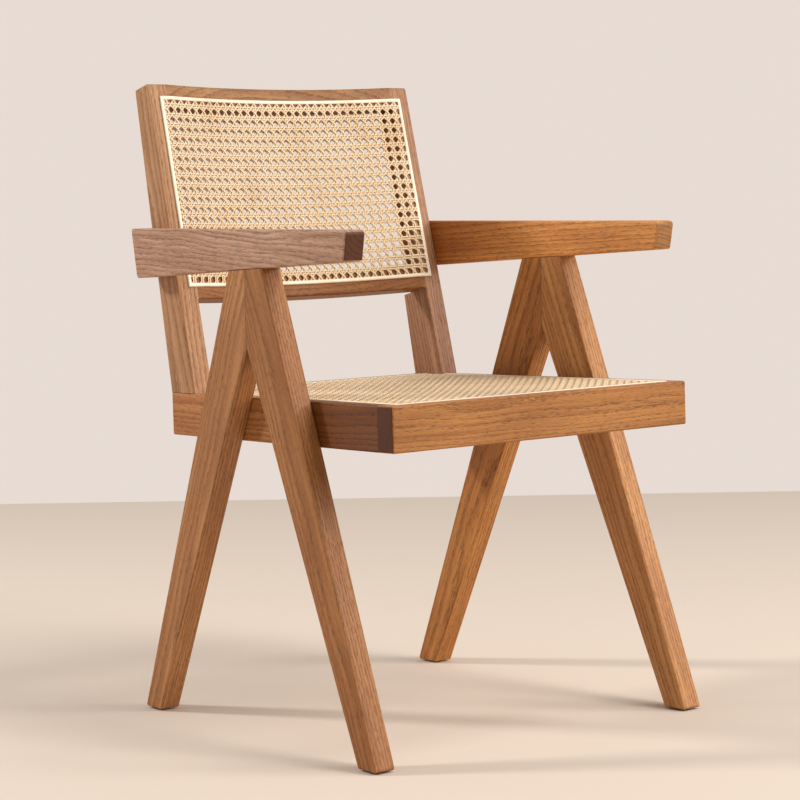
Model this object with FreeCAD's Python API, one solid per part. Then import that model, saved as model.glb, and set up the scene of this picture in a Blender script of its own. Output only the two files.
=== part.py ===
import FreeCAD, Part
import math
import os

os.makedirs("parts", exist_ok=True)

# A low armchair in solid teak: two A-shaped side frames under long arms, a sloping seat frame
# and a reclined, hollowed back, both filled with cane webbing.
# The sitter faces -Y and Z is up. Places along the depth are counted from the front edge of the
# seat frame. At the end everything moves so that the origin lies at the bottom centre.

# Timber
stock = 29.0
arris = 2.5
footArris = 3.0
closeness = 0.01

# Seat frame: it narrows to the rear and falls a little to the rear
seatFrontWidth = 470.0
seatRearWidth = 431.0
seatDepth = 469.0
seatFrontHeight = 418.3
seatRailHeight = 54.0
seatFallShare = 0.022
seatMarginFront = 14.0
seatMarginSide = 18.0
seatMarginRear = 22.0

# Side frames: a front leg and a rear leg that meet on an upright seam
frontFootSetback = 4.3
frontFootWidth = 35.4
rearFootReach = 504.2
rearFootWidth = 35.7
seamSetback = 251.8
crotchHeight = 475.0
frontHeadWidth = 34.7
rearHeadWidth = 36.9

# Arms
armTopHeight = 616.4
armFrontSetback = 44.2
armFrontDepth = 36.0
armRearDepth = 62.9
armFrontLean = 6.2
armTail = 4.3
armNoseRadius = 5.5
armChinRadius = 4.0
armTailRadius = 3.5

# Back: two stiles that stand on the seat frame and two hollowed rails
chairHeight = 800.0
stileFootDepth = 54.0
stileTopReach = 511.3
stileTopDepth = 31.0
stileTopRadius = 3.0
backClearance = 120.5
backRailHeight = 29.0
backHollow = 16.8
backFlat = 2.0
backMargin = 16.0

# Cane webbing, and the splines that hold it in grooves
caneThickness = 1.2
caneRows = 12
caneOpenShare = 0.52
splineWidth = 5.0
splineSunk = 2.4
splineProud = 1.6
grooveClearance = 0.1

# Dowels
dowelRadius = 4.0
dowelClearance = 0.05
dowelEndGap = 1.0
seamDowelGrip = 18.0
seamDowelPitch = 30.0
headDowelGrip = 20.0
headDowelPitch = 17.0
armDowelGrip = 13.0
armDowelPitch = 22.0
footDowelGrip = 16.0
footDowelPitch = 24.0
railDowelRadius = 3.0
railDowelGrip = 14.0
railDowelPitch = 13.0
frameDowelGrip = 18.0
frameDowelPitch = 17.0
frameDowelDrop = 33.0

# Bolts that hold each leg to the seat frame, put in from inside the seat frame
boltRadius = 3.0
boltHeadRadius = 5.5
boltHeadHeight = 3.4
boltKeyRadius = 2.0
boltKeyDepth = 2.0
boltClearance = 0.2
boltPitch = 26.0
boltEndGap = 1.0
washerRadius = 8.0
washerThickness = 1.5
insertRadius = 4.75
insertLength = 16.0
threadClearance = 0.05

# Blocks glued and screwed into the corners of the seat frame
blockLeg = 58.0
blockNose = 10.0
blockHeight = 28.0
blockDrop = 14.0
screwSetback = 30.0
screwShift = 7.0
screwSeat = 26.0
screwGrip = 15.0
screwRadius = 2.1
screwHeadRadius = 4.2
screwHeadHeight = 2.6
screwKeyRadius = 1.2
screwKeyDepth = 1.4
socketClearance = 0.4

# Glides under the feet
glideRadius = 11.0
glideHeight = 2.0
glideEdge = 0.6
glidePinRadius = 1.3
glidePinLength = 14.0

overrun = 40.0

# Angles and places that follow from the sizes
reach = 2 * chairHeight
start = FreeCAD.Vector(0, 0, 0)
sideSlope = (seatFrontWidth - seatRearWidth) / 2 / seatDepth
toeAngle = math.atan(sideSlope)
seatAngle = math.atan(seatFallShare)
seatOrigin = FreeCAD.Vector(0, 0, seatFrontHeight)
stileFootSetback = seatDepth - stileFootDepth


# height of the top of the seat frame
def seatTop(y):
    return seatFrontHeight - y * seatFallShare


# the reclined face of the back, from the foot of the stiles to their top
stileRun = stileTopReach - stileFootSetback
stileRise = chairHeight - seatTop(stileFootSetback)
backAngle = math.atan2(stileRun, stileRise)
backOrigin = FreeCAD.Vector(0, stileTopReach, chairHeight)
backHeight = math.hypot(stileRun, stileRise) - backClearance


# x of the upright plane that lies inset inside the outer face of the seat frame
def sideX(y, inset):
    return seatFrontWidth / 2 - y * sideSlope - inset / math.cos(toeAngle)


def insetOf(point):
    return (sideX(point.y, 0) - abs(point.x)) * math.cos(toeAngle)


# distance to the rear along the slope of the seat frame
def seatAlong(point):
    return (point - seatOrigin).dot(FreeCAD.Vector(0, math.cos(seatAngle), -math.sin(seatAngle)))


# height above the sloping top of the seat frame
def seatAbove(point):
    return (point - seatOrigin).dot(FreeCAD.Vector(0, math.sin(seatAngle), math.cos(seatAngle)))


# point of the reclined back, depth behind its face and height above its top
def backPoint(depth, height):
    y = backOrigin.y + depth * math.cos(backAngle) + height * math.sin(backAngle)
    z = backOrigin.z - depth * math.sin(backAngle) + height * math.cos(backAngle)
    return y, z


# y of the rear edge of the stiles at a height
def stileRear(z):
    topY, topZ = backPoint(stileTopDepth, 0)
    share = (z - seatTop(seatDepth)) / (topZ - seatTop(seatDepth))
    return seatDepth + (topY - seatDepth) * share


# the arms end a little behind the stiles and parallel to them
armRearTop = stileRear(armTopHeight) + armTail
armRearLow = stileRear(armTopHeight - armRearDepth) + armTail
armFrontLow = armFrontSetback + armFrontLean


# height of the underside of the arms
def armUnder(y):
    slope = (armRearDepth - armFrontDepth) / (armRearLow - armFrontLow)
    return armTopHeight - armFrontDepth - (y - armFrontLow) * slope


# Placing
# from a level frame to one that leans to the rear by an angle
def leaned(shape, origin, angle):
    placed = shape.copy()
    placed.rotate(start, FreeCAD.Vector(1, 0, 0), -math.degrees(angle))
    placed.translate(origin)
    return placed


# from a frame whose X is square to the side plane, to the side of the chair at +X
def onSide(shape, y, z):
    placed = shape.copy()
    placed.rotate(start, FreeCAD.Vector(0, 0, 1), math.degrees(toeAngle))
    placed.translate(FreeCAD.Vector(sideX(y, 0), y, z))
    return placed


def mirrored(shape):
    return shape.mirror(start, FreeCAD.Vector(1, 0, 0))


def bothSides(shapes):
    return shapes + [mirrored(shape) for shape in shapes]


# Basic solids
def box(x0, x1, y0, y1, z0, z1):
    return Part.makeBox(x1 - x0, y1 - y0, z1 - z0, FreeCAD.Vector(x0, y0, z0))


def rod(radius, low, high):
    axis = high - low
    return Part.makeCylinder(radius, axis.Length, low, axis)


# rod square to the side plane, between two insets
def crossRod(radius, inner, outer):
    return rod(radius, FreeCAD.Vector(-inner, 0, 0), FreeCAD.Vector(-outer, 0, 0))


# plan outline run up and down past the whole chair
def plan(points):
    wire = Part.makePolygon([FreeCAD.Vector(x, y, -reach) for x, y in points + points[:1]])
    return Part.Face(wire).extrude(FreeCAD.Vector(0, 0, 2 * reach))


# upright slab between two insets on the side at +X
def sideWall(outer, inner):
    return plan([
        (sideX(-reach, outer), -reach),
        (sideX(reach, outer), reach),
        (sideX(reach, inner), reach),
        (sideX(-reach, inner), -reach),
    ])


# upright block that spans the chair between the same inset on both sides
def between(inset, front, rear):
    return plan([
        (-sideX(front, inset), front),
        (sideX(front, inset), front),
        (sideX(rear, inset), rear),
        (-sideX(rear, inset), rear),
    ])


# slab that follows the slope of the seat frame, low and high counted from its top
def seatSlab(front, rear, low, high):
    return leaned(box(-reach, reach, front, rear, low, high), seatOrigin, seatAngle)


# closed outline from points with a corner radius each
def wireOf(corners):
    starts = []
    middles = []
    ends = []
    for index, (point, radius) in enumerate(corners):
        before = (corners[index - 1][0] - point).normalize()
        after = (corners[(index + 1) % len(corners)][0] - point).normalize()
        half = before.getAngle(after) / 2
        inward = (before + after).normalize()
        starts.append(point + before * (radius / math.tan(half)))
        middles.append(point + inward * (radius / math.sin(half) - radius))
        ends.append(point + after * (radius / math.tan(half)))
    edges = []
    for index, (point, radius) in enumerate(corners):
        if radius > 0:
            edges.append(Part.Arc(starts[index], middles[index], ends[index]).toShape())
        edges.append(Part.LineSegment(ends[index], starts[(index + 1) % len(corners)]).toShape())
    return Part.Wire(edges)


# side view, given as y, z and radius of each corner, run across the whole side at +X
def sideProfile(corners):
    points = [(FreeCAD.Vector(0, y, z), radius) for y, z, radius in corners]
    return Part.Face(wireOf(points)).extrude(FreeCAD.Vector(reach, 0, 0))


# Rounding and cutting
def samples(edge):
    middle = edge.valueAt((edge.FirstParameter + edge.LastParameter) / 2)
    return [vertex.Point for vertex in edge.Vertexes] + [middle]


def close(value, target):
    return abs(value - target) < closeness


# whether the whole edge lies where a measure of its points has one value
def edgeAt(edge, measure, target):
    return all(close(measure(point), target) for point in samples(edge))


def rounded(solid, radius, wanted):
    return solid.makeFillet(radius, [edge for edge in solid.Edges if wanted(edge)])


def cutAll(solid, tools):
    for tool in tools:
        solid = solid.cut(tool)
    return solid


# Side frames
def makeArm():
    profile = sideProfile([
        (armFrontSetback, armTopHeight, armNoseRadius),
        (armRearTop, armTopHeight, armTailRadius),
        (armRearLow, armUnder(armRearLow), armTailRadius),
        (armFrontLow, armUnder(armFrontLow), armChinRadius),
    ])
    arm = profile.common(sideWall(-stock, 0))
    return rounded(arm, arris, lambda edge: edgeAt(edge, insetOf, 0) or edgeAt(edge, insetOf, -stock))


def makeLeg(corners):
    leg = sideProfile(corners).common(sideWall(-stock, 0))

    def wanted(edge):
        atSeam = edgeAt(edge, lambda point: point.y, seamSetback)
        atHead = edgeAt(edge, lambda point: point.z - armUnder(point.y), 0)
        atSide = edgeAt(edge, insetOf, 0) or edgeAt(edge, insetOf, -stock)
        return atSide and not atSeam and not atHead

    return rounded(leg, arris, wanted)


def makeFrontLeg():
    head = seamSetback - frontHeadWidth
    return makeLeg([
        (frontFootSetback, glideHeight, footArris),
        (frontFootSetback + frontFootWidth, glideHeight, footArris),
        (seamSetback, crotchHeight, 0),
        (seamSetback, armUnder(seamSetback), 0),
        (head, armUnder(head), 0),
    ])


def makeRearLeg():
    head = seamSetback + rearHeadWidth
    return makeLeg([
        (rearFootReach - rearFootWidth, glideHeight, footArris),
        (rearFootReach, glideHeight, footArris),
        (head, armUnder(head), 0),
        (seamSetback, armUnder(seamSetback), 0),
        (seamSetback, crotchHeight, 0),
    ])


# Seat frame
def makeFrontRail():
    rail = seatSlab(0, stock, -seatRailHeight, 0).common(between(0, -overrun, stock + overrun))

    def wanted(edge):
        atEnd = edgeAt(edge, insetOf, 0) and not edgeAt(edge, seatAlong, stock)
        return atEnd or edgeAt(edge, seatAlong, 0)

    return rounded(rail, arris, wanted)


def makeSideRail():
    rail = seatSlab(stock, seatDepth, -seatRailHeight, 0).common(sideWall(0, stock))

    def wanted(edge):
        atFront = edgeAt(edge, seatAlong, stock)
        atRear = edgeAt(edge, seatAlong, seatDepth) and edgeAt(edge, seatAbove, -seatRailHeight)
        return (edgeAt(edge, insetOf, 0) and not atFront) or atRear

    return rounded(rail, arris, wanted)


def makeRearRail():
    rail = seatSlab(seatDepth - stock, seatDepth, -seatRailHeight, 0)
    rail = rail.common(between(stock, 0, seatDepth + overrun))

    def wanted(edge):
        return edgeAt(edge, seatAlong, seatDepth) and not edgeAt(edge, insetOf, stock)

    return rounded(rail, arris, wanted)


# Back frame
# half-width of the hollow, just inside the stiles where they stand closest
def backChord():
    return sideX(backOrigin.y, stock) - backFlat


def backArc(depth):
    chord = backChord()
    ends = FreeCAD.Vector(-chord, depth, 0), FreeCAD.Vector(chord, depth, 0)
    return Part.Arc(ends[0], FreeCAD.Vector(0, depth + backHollow, 0), ends[1])


# slab between two depths behind the face of the back: hollow in the middle, flat on the stiles
def backLayer(front, rear, low, high):
    chord = backChord()
    edge = chord + 2 * stock
    corners = [
        FreeCAD.Vector(-edge, front, 0), FreeCAD.Vector(-chord, front, 0),
        FreeCAD.Vector(chord, front, 0), FreeCAD.Vector(edge, front, 0),
        FreeCAD.Vector(edge, rear, 0), FreeCAD.Vector(chord, rear, 0),
        FreeCAD.Vector(-chord, rear, 0), FreeCAD.Vector(-edge, rear, 0),
    ]
    curves = [
        Part.LineSegment(corners[0], corners[1]), backArc(front),
        Part.LineSegment(corners[2], corners[3]), Part.LineSegment(corners[3], corners[4]),
        Part.LineSegment(corners[4], corners[5]), backArc(rear),
        Part.LineSegment(corners[6], corners[7]), Part.LineSegment(corners[7], corners[0]),
    ]
    face = Part.Face(Part.Wire([curve.toShape() for curve in curves]))
    layer = face.extrude(FreeCAD.Vector(0, 0, high - low))
    layer.translate(FreeCAD.Vector(0, 0, low))
    return leaned(layer, backOrigin, backAngle)


# rail cut from a curve that runs on past the stiles, rounded where the back ends
def makeBackRail(top):
    chord = backChord()
    radius = (chord * chord + backHollow * backHollow) / 2 / backHollow
    edge = chord + stock
    rise = math.sqrt(radius * radius - edge * edge) - math.sqrt(radius * radius - chord * chord)
    left = FreeCAD.Vector(-edge, rise, 0)
    right = FreeCAD.Vector(edge, rise, 0)
    middle = FreeCAD.Vector(0, backHollow, 0)
    behind = FreeCAD.Vector(0, stock, 0)
    wire = Part.Wire([
        Part.Arc(left, middle, right).toShape(),
        Part.LineSegment(right, right + behind).toShape(),
        Part.Arc(right + behind, middle + behind, left + behind).toShape(),
        Part.LineSegment(left + behind, left).toShape(),
    ])
    rail = Part.Face(wire).extrude(FreeCAD.Vector(0, 0, backRailHeight))
    rail.translate(FreeCAD.Vector(0, 0, top - backRailHeight))
    ending = top if top == 0 else top - backRailHeight

    def wanted(edge):
        flat = edgeAt(edge, lambda point: point.z, ending)
        return flat and not close(edge.Length, stock)

    rail = leaned(rounded(rail, arris, wanted), backOrigin, backAngle)
    ahead = leaned(box(-reach, reach, -reach, 0, -reach, reach), backOrigin, backAngle)
    return rail.common(between(stock, 0, reach)).cut(ahead)


# band that runs round the cane of the back
def backBand(clearance, front, rear):
    bands = []
    for margin in (backMargin - clearance, backMargin + splineWidth + clearance):
        bands.append(backLayer(front, rear, margin - backHeight, -margin).common(between(margin, 0, reach)))
    return bands[0].cut(bands[1])


def makeBackCane(front, rear):
    margin = backMargin + splineWidth
    return backLayer(front, rear, margin - backHeight, -margin).common(between(margin, 0, reach))


# step along the inner rear corner of a stile, where the rear cane laps onto it
def makeRebate():
    step = leaned(box(0, reach, stock, reach, -backHeight, overrun), backOrigin, backAngle)
    return step.common(sideWall(backMargin - grooveClearance, stock + overrun))


# cut from a longer stick; the arrises stay square where the rails of the back join
def makeStile():
    lowY, lowZ = backPoint(0, -math.hypot(stileRun, stileRise) - overrun)
    rearY, rearZ = backPoint(stileTopDepth, 0)
    profile = sideProfile([
        (lowY, lowZ, 0),
        (stileRear(lowZ), lowZ, 0),
        (rearY, rearZ, stileTopRadius),
        (backOrigin.y, backOrigin.z, stileTopRadius),
    ])
    square = profile.common(sideWall(0, stock))
    eased = rounded(square, arris, lambda edge: edgeAt(edge, insetOf, 0) or edgeAt(edge, insetOf, stock))
    joint = leaned(box(0, reach, -overrun, stock, -backHeight, overrun), backOrigin, backAngle)
    joint = joint.common(sideWall(stock / 2, stock + overrun))
    stile = eased.fuse(square.common(joint)).removeSplitter()
    return stile.cut(seatSlab(-reach, reach, -reach, 0))


# Seat webbing
# U-shaped band along the front and the sides, up to the stiles
def seatBand(clearance, low, high):
    front = seatMarginFront - clearance
    side = seatMarginSide - clearance
    width = splineWidth + 2 * clearance
    outer = between(side, front, stileFootSetback)
    inner = between(side + width, front + width, stileFootSetback + overrun)
    return outer.cut(inner).common(seatSlab(-overrun, seatDepth, low, high))


# straight band along the rear, between the stiles
def seatRearBand(clearance, low, high):
    rear = seatDepth - seatMarginRear + clearance
    front = rear - splineWidth - 2 * clearance
    return between(stock + grooveClearance, front, rear).common(seatSlab(0, seatDepth, low, high))


# plain grid that stands for the holes of the weave, each row spread over the width it crosses
def seatOpenings(side, inner, front, rear):
    pitch = (rear - front) / caneRows
    half = pitch * caneOpenShare / 2
    openings = []
    for row in range(caneRows):
        y = front + (row + 1 / 2) * pitch
        inset = side if y + half < stileFootSetback else inner
        step = 2 * sideX(y + half, inset) / caneRows
        gap = step * caneOpenShare / 2
        for column in range(caneRows):
            x = (column + 1 / 2 - caneRows / 2) * step
            openings.append(box(x - gap, x + gap, y - half, y + half, 0, 2 * reach))
    return openings


def makeSeatCane():
    side = seatMarginSide + splineWidth
    inner = stock + grooveClearance
    front = seatMarginFront + splineWidth
    rear = seatDepth - seatMarginRear - splineWidth
    wide = between(side, front, stileFootSetback)
    narrow = between(inner, stileFootSetback - overrun, rear)
    sheet = wide.fuse(narrow).removeSplitter()
    sheet = sheet.common(seatSlab(0, seatDepth, 0, caneThickness))
    return sheet.cut(Part.makeCompound(seatOpenings(side, inner, front, rear)))


# Bolts
# y and z of the two bolts in each leg, halfway down the seat frame
def boltPlaces():
    middle = seatTop(seamSetback) - seatRailHeight / 2
    share = (middle - glideHeight) / (crotchHeight - glideHeight)
    places = []
    for foot, way in ((frontFootSetback + frontFootWidth, -1), (rearFootReach - rearFootWidth, 1)):
        centre = foot + (seamSetback - foot) * share + way * stock
        for step in (-1, 1):
            places.append((centre + step * boltPitch / 2, middle))
    return places


# bolt or screw along the cross direction, with a key socket in its head
def fastener(radius, end, seat, headRadius, headHeight, keyRadius, keyDepth):
    top = seat + headHeight
    solid = crossRod(radius, seat, end).fuse(crossRod(headRadius, top, seat)).removeSplitter()
    return solid.cut(crossRod(keyRadius, top, top - keyDepth))


def makeBolt(y, z):
    bolt = fastener(boltRadius, boltEndGap - insertLength, stock + washerThickness, boltHeadRadius,
                    boltHeadHeight, boltKeyRadius, boltKeyDepth)
    return onSide(bolt, y, z)


def makeWasher(y, z):
    washer = crossRod(washerRadius, stock + washerThickness, stock)
    return onSide(washer.cut(crossRod(boltRadius + boltClearance, stock + overrun, 0)), y, z)


def makeInsert(y, z):
    insert = crossRod(insertRadius, 0, -insertLength)
    return onSide(insert.cut(crossRod(boltRadius + threadClearance, overrun, -overrun)), y, z)


def boltHole(y, z):
    return onSide(crossRod(boltRadius + boltClearance, stock + overrun, -boltEndGap), y, z)


def insertHole(y, z):
    return onSide(crossRod(insertRadius + threadClearance, 0, -insertLength), y, z)


# Dowels: clearance and gap are zero for the dowel itself and widen it into its hole
def pair(middle, pitch):
    return [middle - pitch / 2, middle + pitch / 2]


def seamDowels(clearance, gap):
    middle = (crotchHeight + armUnder(seamSetback) - headDowelGrip) / 2
    low = FreeCAD.Vector(stock / 2, -seamDowelGrip - gap, 0)
    high = FreeCAD.Vector(stock / 2, seamDowelGrip + gap, 0)
    dowel = rod(dowelRadius + clearance, low, high)
    return [onSide(dowel, seamSetback, z) for z in pair(middle, seamDowelPitch)]


def headDowels(clearance, gap):
    places = pair(seamSetback - frontHeadWidth / 2, headDowelPitch)
    places += pair(seamSetback + rearHeadWidth / 2, headDowelPitch)
    low = FreeCAD.Vector(stock / 2, 0, -headDowelGrip - gap)
    high = FreeCAD.Vector(stock / 2, 0, headDowelGrip + gap)
    dowel = rod(dowelRadius + clearance, low, high)
    return [onSide(dowel, y, armUnder(y)) for y in places]


def armDowels(clearance, gap):
    dowel = crossRod(dowelRadius + clearance, armDowelGrip + gap, -armDowelGrip - gap)
    dowels = []
    for z in pair(armTopHeight - armRearDepth / 2, armDowelPitch):
        y, level = backPoint(stock / 2, (z - backOrigin.z) / math.cos(backAngle))
        dowels.append(onSide(dowel, y, level))
    return dowels


def footDowels(clearance, gap):
    low = FreeCAD.Vector(-stock / 2, 0, -footDowelGrip - gap)
    high = FreeCAD.Vector(-stock / 2, 0, footDowelGrip + gap)
    dowel = rod(dowelRadius + clearance, low, high)
    return [onSide(dowel, y, seatTop(y)) for y in pair(seatDepth - stileFootDepth / 2, footDowelPitch)]


def railDowels(clearance, gap):
    dowel = crossRod(railDowelRadius + clearance, stock + railDowelGrip + gap, stock - railDowelGrip - gap)
    dowels = []
    for top in (0, backRailHeight - backHeight):
        for height in pair(top - backRailHeight / 2, railDowelPitch):
            y, z = backPoint(stock / 2, height)
            dowels.append(onSide(dowel, y, z))
    return dowels


# between the front rail and a side rail
def frontDowels(clearance, gap):
    dowels = []
    for height in pair(-frameDowelDrop, frameDowelPitch):
        low = FreeCAD.Vector(sideX(stock, stock / 2), stock - frameDowelGrip - gap, height)
        high = FreeCAD.Vector(sideX(stock, stock / 2), stock + frameDowelGrip + gap, height)
        dowels.append(leaned(rod(dowelRadius + clearance, low, high), seatOrigin, seatAngle))
    return dowels


# between the rear rail and a side rail
def rearDowels(clearance, gap):
    y = seatDepth - stock / 2
    dowel = crossRod(dowelRadius + clearance, stock + frameDowelGrip + gap, stock - frameDowelGrip - gap)
    return [onSide(dowel, y, seatTop(y) + height) for height in pair(-frameDowelDrop, frameDowelPitch)]


# Corner blocks
# three-sided block with blunted points, in the front or the rear corner at +X
def makeBlock(front):
    edge = stock if front else seatDepth - stock
    way = 1 if front else -1
    far = edge + way * blockLeg
    past = edge - way * overrun
    inner = sideX(edge, stock) - blockLeg
    outline = plan([
        (sideX(past, stock), past),
        (sideX(far, stock), far),
        (sideX(far, stock) - blockNose, far),
        (inner, edge + way * blockNose),
        (inner, past),
    ])
    return outline.common(seatSlab(stock, seatDepth - stock, -blockDrop - blockHeight, -blockDrop))


# the two screws of a block, from a profile that points to the rail it enters
def blockPair(front, profile):
    edge = stock if front else seatDepth - stock
    way = 1 if front else -1
    middle = -blockDrop - blockHeight / 2
    y = edge + way * screwSetback
    side = profile.copy()
    side.translate(FreeCAD.Vector(-stock, 0, 0))
    side = onSide(side, y, seatTop(y) + middle + screwShift)
    cross = profile.copy()
    cross.rotate(start, FreeCAD.Vector(0, 0, 1), -way * math.degrees(math.pi / 2))
    cross.translate(FreeCAD.Vector(sideX(edge, stock) - screwSetback, edge, middle - screwShift))
    return [side, leaned(cross, seatOrigin, seatAngle)]


def blockScrews(front):
    screw = fastener(screwRadius, -screwGrip, screwSeat, screwHeadRadius, screwHeadHeight,
                     screwKeyRadius, screwKeyDepth)
    return blockPair(front, screw)


def blockHoles(front):
    shank = crossRod(screwRadius + threadClearance, screwSeat, -screwGrip)
    socket = crossRod(screwHeadRadius + socketClearance, screwSeat + overrun, screwSeat)
    return blockPair(front, shank.fuse(socket))


# Glides
def footPlaces():
    return [frontFootSetback + frontFootWidth / 2, rearFootReach - rearFootWidth / 2]


def makeGlide(y):
    pad = Part.makeCylinder(glideRadius, glideHeight)
    pad = rounded(pad, glideEdge, lambda edge: edge.Closed and edgeAt(edge, lambda point: point.z, 0))
    glide = pad.fuse(Part.makeCylinder(glidePinRadius, glidePinLength)).removeSplitter()
    glide.translate(FreeCAD.Vector(stock / 2, 0, 0))
    return onSide(glide, y, 0)


def pinHole(y):
    hole = Part.makeCylinder(glidePinRadius + dowelClearance, glidePinLength + dowelEndGap)
    hole.translate(FreeCAD.Vector(stock / 2, 0, 0))
    return onSide(hole, y, 0)


# Holes and grooves on the side at +X
seamHoles = seamDowels(dowelClearance, dowelEndGap)
headHoles = headDowels(dowelClearance, dowelEndGap)
armHoles = armDowels(dowelClearance, dowelEndGap)
footHoles = footDowels(dowelClearance, dowelEndGap)
railHoles = railDowels(dowelClearance, dowelEndGap)
frontHoles = frontDowels(dowelClearance, dowelEndGap)
rearHoles = rearDowels(dowelClearance, dowelEndGap)
boltHoles = [boltHole(y, z) for y, z in boltPlaces()]
insertHoles = [insertHole(y, z) for y, z in boltPlaces()]
pinHoles = [pinHole(y) for y in footPlaces()]
frontBlockHoles = blockHoles(True)
rearBlockHoles = blockHoles(False)
seatGroove = seatBand(grooveClearance, -splineSunk, overrun)
seatRearGroove = seatRearBand(grooveClearance, -splineSunk, overrun)
backGroove = backBand(grooveClearance, -overrun, splineSunk)
backRearGroove = backBand(grooveClearance, stock - splineSunk, stock + overrun)

# Pieces on the side at +X, which is the sitter's left
sidePieces = {
    "arm": cutAll(makeArm(), headHoles + armHoles),
    "front_leg": cutAll(makeFrontLeg(), seamHoles + headHoles[:2] + insertHoles[:2] + pinHoles[:1]),
    "rear_leg": cutAll(makeRearLeg(), seamHoles + headHoles[2:] + insertHoles[2:] + pinHoles[1:]),
    "seat_side_rail": cutAll(
        makeSideRail(),
        footHoles + frontHoles + rearHoles + boltHoles + [frontBlockHoles[0], rearBlockHoles[0], seatGroove],
    ),
    "stile": cutAll(
        makeStile(), armHoles + footHoles + railHoles + [backGroove, makeRebate(), backRearGroove]),
    "corner_block_front": cutAll(makeBlock(True), frontBlockHoles),
    "corner_block_rear": cutAll(makeBlock(False), rearBlockHoles),
}

# Pieces that span the chair
backTools = bothSides(railHoles) + [backGroove, backRearGroove]
pieces = {
    "seat_front_rail": cutAll(
        makeFrontRail(), bothSides(frontHoles) + bothSides(frontBlockHoles[1:]) + [seatGroove]),
    "seat_rear_rail": cutAll(
        makeRearRail(), bothSides(rearHoles) + bothSides(rearBlockHoles[1:]) + [seatRearGroove]),
    "back_top_rail": cutAll(makeBackRail(0), backTools),
    "back_bottom_rail": cutAll(makeBackRail(backRailHeight - backHeight), backTools),
    "seat_cane": makeSeatCane(),
    "seat_spline": seatBand(0, -splineSunk, splineProud),
    "seat_spline_rear": seatRearBand(0, -splineSunk, splineProud),
    "back_cane_front": makeBackCane(-caneThickness, 0),
    "back_cane_rear": makeBackCane(stock, stock + caneThickness),
    "back_spline_front": backBand(0, -splineProud, splineSunk),
    "back_spline_rear": backBand(0, stock - splineSunk, stock + splineProud),
}

for name, shape in sidePieces.items():
    pieces[name + "_left"] = shape
    pieces[name + "_right"] = mirrored(shape)

# Repeated hardware, one group of separate solids for each kind
groups = {
    "leg_bolts": [makeBolt(y, z) for y, z in boltPlaces()],
    "leg_washers": [makeWasher(y, z) for y, z in boltPlaces()],
    "leg_inserts": [makeInsert(y, z) for y, z in boltPlaces()],
    "block_screws": blockScrews(True) + blockScrews(False),
    "seam_dowels": seamDowels(0, 0),
    "arm_dowels": headDowels(0, 0),
    "arm_stile_dowels": armDowels(0, 0),
    "stile_foot_dowels": footDowels(0, 0),
    "back_rail_dowels": railDowels(0, 0),
    "seat_frame_dowels": frontDowels(0, 0) + rearDowels(0, 0),
    "foot_glides": [makeGlide(y) for y in footPlaces()],
}

for name, solids in groups.items():
    pieces[name] = Part.makeCompound(bothSides(solids))

# The origin goes to the bottom centre of the whole chair
whole = Part.makeCompound(list(pieces.values())).optimalBoundingBox()
centred = FreeCAD.Vector(0, -(whole.YMin + whole.YMax) / 2, 0)

for name, shape in pieces.items():
    shape.translate(centred)
    shape.exportStep("parts/" + name + ".step")
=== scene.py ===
# Teak armchair with woven cane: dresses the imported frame. Metres, +Z up, the sitter faces -Y.
import bmesh
import bpy
import math
from mathutils import Euler, Matrix, Vector


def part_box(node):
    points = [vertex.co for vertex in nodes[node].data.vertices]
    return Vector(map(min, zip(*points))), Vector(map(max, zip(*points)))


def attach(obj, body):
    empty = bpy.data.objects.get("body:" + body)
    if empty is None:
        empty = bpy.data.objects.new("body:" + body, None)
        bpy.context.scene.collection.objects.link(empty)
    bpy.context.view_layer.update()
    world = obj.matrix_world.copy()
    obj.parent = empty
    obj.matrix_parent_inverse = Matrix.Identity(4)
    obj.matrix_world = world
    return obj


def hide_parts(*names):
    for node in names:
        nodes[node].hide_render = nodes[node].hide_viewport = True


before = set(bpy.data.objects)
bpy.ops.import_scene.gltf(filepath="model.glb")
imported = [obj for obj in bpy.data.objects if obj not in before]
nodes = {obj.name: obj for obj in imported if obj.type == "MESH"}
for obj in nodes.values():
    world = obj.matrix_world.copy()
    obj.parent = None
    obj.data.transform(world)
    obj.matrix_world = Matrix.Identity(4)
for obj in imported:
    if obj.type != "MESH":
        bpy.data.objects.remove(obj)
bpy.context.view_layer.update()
scene = bpy.context.scene
scene.view_settings.view_transform = "Standard"
bpy.ops.object.select_all(action="DESELECT")
print("frame loaded:", len(nodes), "nodes")


# node helpers
def connect(tree, made, inputs):
    for key, value in inputs.items():
        if isinstance(value, bpy.types.NodeSocket):
            tree.links.new(value, made.inputs[key])
        else:
            made.inputs[key].default_value = value


def add(tree, kind, inputs=None, **settings):
    made = tree.nodes.new(kind)
    for key, value in settings.items():
        setattr(made, key, value)
    connect(tree, made, inputs or {})
    return made


def maths(tree, operation, *values):
    return add(tree, "ShaderNodeMath", dict(enumerate(values)), operation=operation).outputs[0]


def scaled(tree, vector, factors):
    return add(tree, "ShaderNodeVectorMath", {0: vector, 1: factors}, operation="MULTIPLY").outputs[0]


def noise(tree, vector, detail=2, roughness=0.5):
    inputs = {"Vector": vector, "Scale": 1, "Detail": detail, "Roughness": roughness}
    return add(tree, "ShaderNodeTexNoise", inputs).outputs[0]


def spread(tree, value, low, high, outLow=0, outHigh=1):
    inputs = {0: value, 1: low, 2: high, 3: outLow, 4: outHigh}
    return add(tree, "ShaderNodeMapRange", inputs, interpolation_type="SMOOTHSTEP").outputs[0]


def blendColours(tree, factor, first, second, kind="MIX"):
    inputs = {0: factor, 6: first, 7: second}
    return add(tree, "ShaderNodeMix", inputs, data_type="RGBA", blend_type=kind).outputs[2]


def multiplied(tree, colour, factors):
    return blendColours(tree, 1.0, colour, (*factors, 1), "MULTIPLY")


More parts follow.
